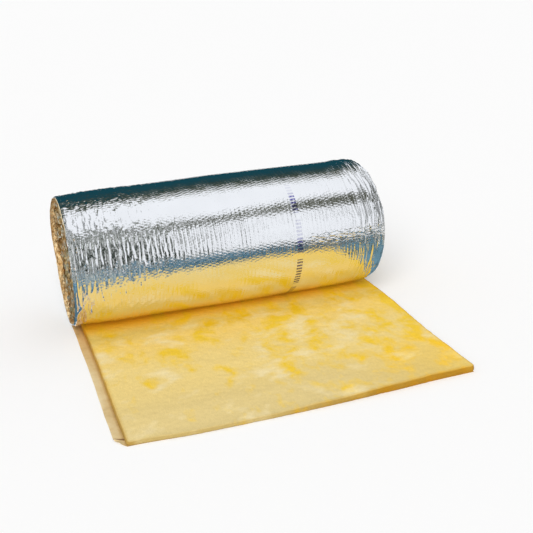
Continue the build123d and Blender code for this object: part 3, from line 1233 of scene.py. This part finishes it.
def floor_board(name, height, corners, colour):
    """A four-cornered board that lies a little above the floor. Its map is in metres."""
    piece = new_grid(name, 4, 4)
    across, along = (share[:, None] for share in grid_shares(piece))
    near_left, near_right, far_right, far_left = (np.array(corner) for corner in corners)
    near = near_left + across * (near_right - near_left)
    far = far_left + across * (far_right - far_left)
    x, y = (near + along * (far - near)).T
    keep_flat_map(piece, x, y)
    place(piece, x, y, height)
    paint_board(piece, colour)


print("most boards stand", round(DRUM_RADIUS - ROLL_RADIUS, 2), "m off the roll")

# %% Boards round the roll
GREY_CLUTTER = (0.05, 0.055, 0.045)
BEHIND = fade((0.0, DUSK), (0.06, OLIVE), (0.18, DEEP_GREEN), (0.34, TEAL), (1.0, TEAL))
in_front = patches(55.0, 0.50, far_share=0.33, turn=(0.522, 0.560))
far_right = patches(6.0, 0.47, dark=GREY_CLUTTER, far_share=0.49)
far_left = patches(30.0, 0.52, dark=(0.04, 0.05, 0.045))
far_streak = patches(16.0, 0.50, (0.66, 0.70, 0.69), (0.05, 0.06, 0.05), 3.0, 0.60, (0.85, 0.98))
side_shapes = patches(16.0, 0.52, WHITISH, BLACKISH, 3.0, 0.60, (0.85, 0.98))
low_shapes = patches(3.0, 0.72, WHITISH, BLACKISH, 0.8, 0.58, (0.55, 0.95))
strip_shapes = patches(5.0, 0.53, (0.62, 0.65, 0.63), (0.03, 0.04, 0.035), 0.5)
drum_board("sky_board", -9, 9, (55, 178), (70, 178), SKY, 5.0)
drum_board("front_board", -9, 9, (-2, 56), (-2, 71), in_front, 4.9)
drum_board("right_board", 2.9, 6, (-2, 130), (-2, 130), far_right, 4.8)
end_board("right_end_board", 6.0, 9.6, 5.2, patches(14.0, 0.54, dark=GREY_CLUTTER))
drum_board("left_board", -9, -1.1, (62, 114), (62, 114), far_left, 4.6)
drum_board("back_board_left", -9, 0.6, (70, 215), (113.5, 215), BEHIND)
drum_board("back_board", 0.6, 2.9, (113.5, 215), (112, 215), BEHIND)
drum_board("streak_board_far", -9, 0.12, (45, 62), (45, 62), far_streak)
drum_board("streak_board_left", 0.12, 0.9, (45.5, 54), (50.5, 59), STREAK)
drum_board("streak_board_middle", 0.9, 1.6, (50.5, 59), (54, 65.5), PALE_STREAK)
drum_board("streak_board_right", 1.6, 2.1, (54, 65.5), (51, 71), PALE_STREAK)
drum_board("streak_board_end", 2.1, 5.0, (51, 71), (51, 75), STREAK)
drum_board("side_board", -9, 0.15, (0, 45), (0, 45), side_shapes)
drum_board("low_side_board", -1.2, 0.40, (0, 40), (0, 10), low_shapes, 3.95)
drum_board("low_strip_left", -0.2, 0.42, (-3.9, -3.0), (-3.9, 4.0), strip_shapes, 3.9)
drum_board("low_strip_right", 0.42, 0.95, (-3.9, 4.0), (-3.9, -2.5), strip_shapes, 3.9)
print("boards round the roll", sum(paint.name.endswith("_paint") for paint in bpy.data.materials))

# %% Boards on the floor
for name, height, corners, colour in (
    ("blue_table", 0.0006, ((-7, -2.4), (0.95, -2.4), (0.62, -0.3), (-7, -0.3)),
     patches(1.8, 0.47, BLUE, DEEP_BLUE, 0.6)),
    ("blue_table_left", 0.0006, ((-7, -0.3), (-0.619, -0.3), (-0.619, 1.8), (-7, 1.8)),
     (0.075, 0.16, 0.22)),
    ("blue_table_right", 0.0007, ((0.60, -0.62), (1.0, -0.80), (1.12, 0.9), (0.60, 0.9)),
     patches(9.0, 0.46, (0.15, 0.29, 0.38), (0.07, 0.11, 0.11))),
    ("grey_table", 0.0008, ((-7, -7), (-0.10, -7), (-0.10, -2.4), (-7, -2.4)),
     patches(0.7, 0.57, (0.78, 0.83, 0.80), (0.03, 0.055, 0.06), 0.12)),
    ("near_grey", 0.0008, ((-7, -2.4), (-0.10, -2.4), (-0.40, -0.6), (-7, -0.6)),
     patches(1.9, 0.57, (0.70, 0.76, 0.75), (0.03, 0.065, 0.08), 0.3)),
    ("far_floor", 0.0004, ((-0.10, -7), (2.2, -7), (2.2, -2.4), (-0.10, -2.4)),
     patches(1.2, 0.52, (0.70, 0.72, 0.70), (0.03, 0.035, 0.03), 0.4)),
    ("right_floor", 0.0005, ((0.6, -2.4), (2.2, -2.4), (2.0, -0.5), (0.6, -0.5)),
     patches(2.5, 0.54, (0.82, 0.83, 0.80), (0.03, 0.035, 0.025), 1.2)),
    ("rim_floor", 0.0003, ((0.95, -0.9), (2.2, -0.9), (2.2, 1.6), (1.1, 1.6)),
     patches(4.0, 0.54, (0.80, 0.82, 0.75), (0.05, 0.05, 0.035), 2.0)),
    ("front_card", 0.028, ((-0.42, -0.66), (0.06, -0.66), (0.00, -0.56), (-0.44, -0.505)),
     patches(9.0, 0.47, BLUE, DEEP_BLUE)),
    ("corner_card", 0.028, ((-0.70, -0.70), (-0.34, -0.62), (-0.46, -0.43), (-0.70, -0.12)),
     patches(11.0, 0.50, (0.24, 0.36, 0.42), (0.05, 0.085, 0.10), 1.0)),
):
    floor_board(name, height, corners, colour)
print("boards in all", sum(paint.name.endswith("_paint") for paint in bpy.data.materials))

# %% [markdown]
# ## Camera
# The camera was fitted to the photograph's outlines: it stands to the left, above the roll's
# height, and looks down on it. Its axes are worked out from its yaw, pitch and roll.

# %% Camera
CAMERA_AT = (-0.925, -2.601, 1.395)
SENSOR, FOCAL_PIXELS, PHOTO_PIXELS = 36.0, 814.0, 533.0
yaw, pitch, tilt = math.radians(21.12), math.radians(-22.18), math.radians(-0.64)
ahead = Vector((math.sin(yaw) * math.cos(pitch), math.cos(yaw) * math.cos(pitch), math.sin(pitch)))
level = Vector((math.cos(yaw), -math.sin(yaw), 0))
upright = level.cross(ahead)
side_axis = math.cos(tilt) * level + math.sin(tilt) * upright
top_axis = -math.sin(tilt) * level + math.cos(tilt) * upright
turned = Matrix((side_axis, top_axis, -ahead)).transposed().to_4x4()
camera_data = bpy.data.cameras.new("camera")
camera_data.sensor_width = SENSOR
camera_data.lens = SENSOR * FOCAL_PIXELS / PHOTO_PIXELS
camera = bpy.data.objects.new("camera", camera_data)
bpy.context.scene.collection.objects.link(camera)
camera.matrix_world = Matrix.Translation(CAMERA_AT) @ turned
bpy.context.scene.camera = camera
print("camera at", CAMERA_AT, "lens", round(camera_data.lens, 1), "mm")

# %% Colour
bpy.context.scene.view_settings.view_transform = "Standard"
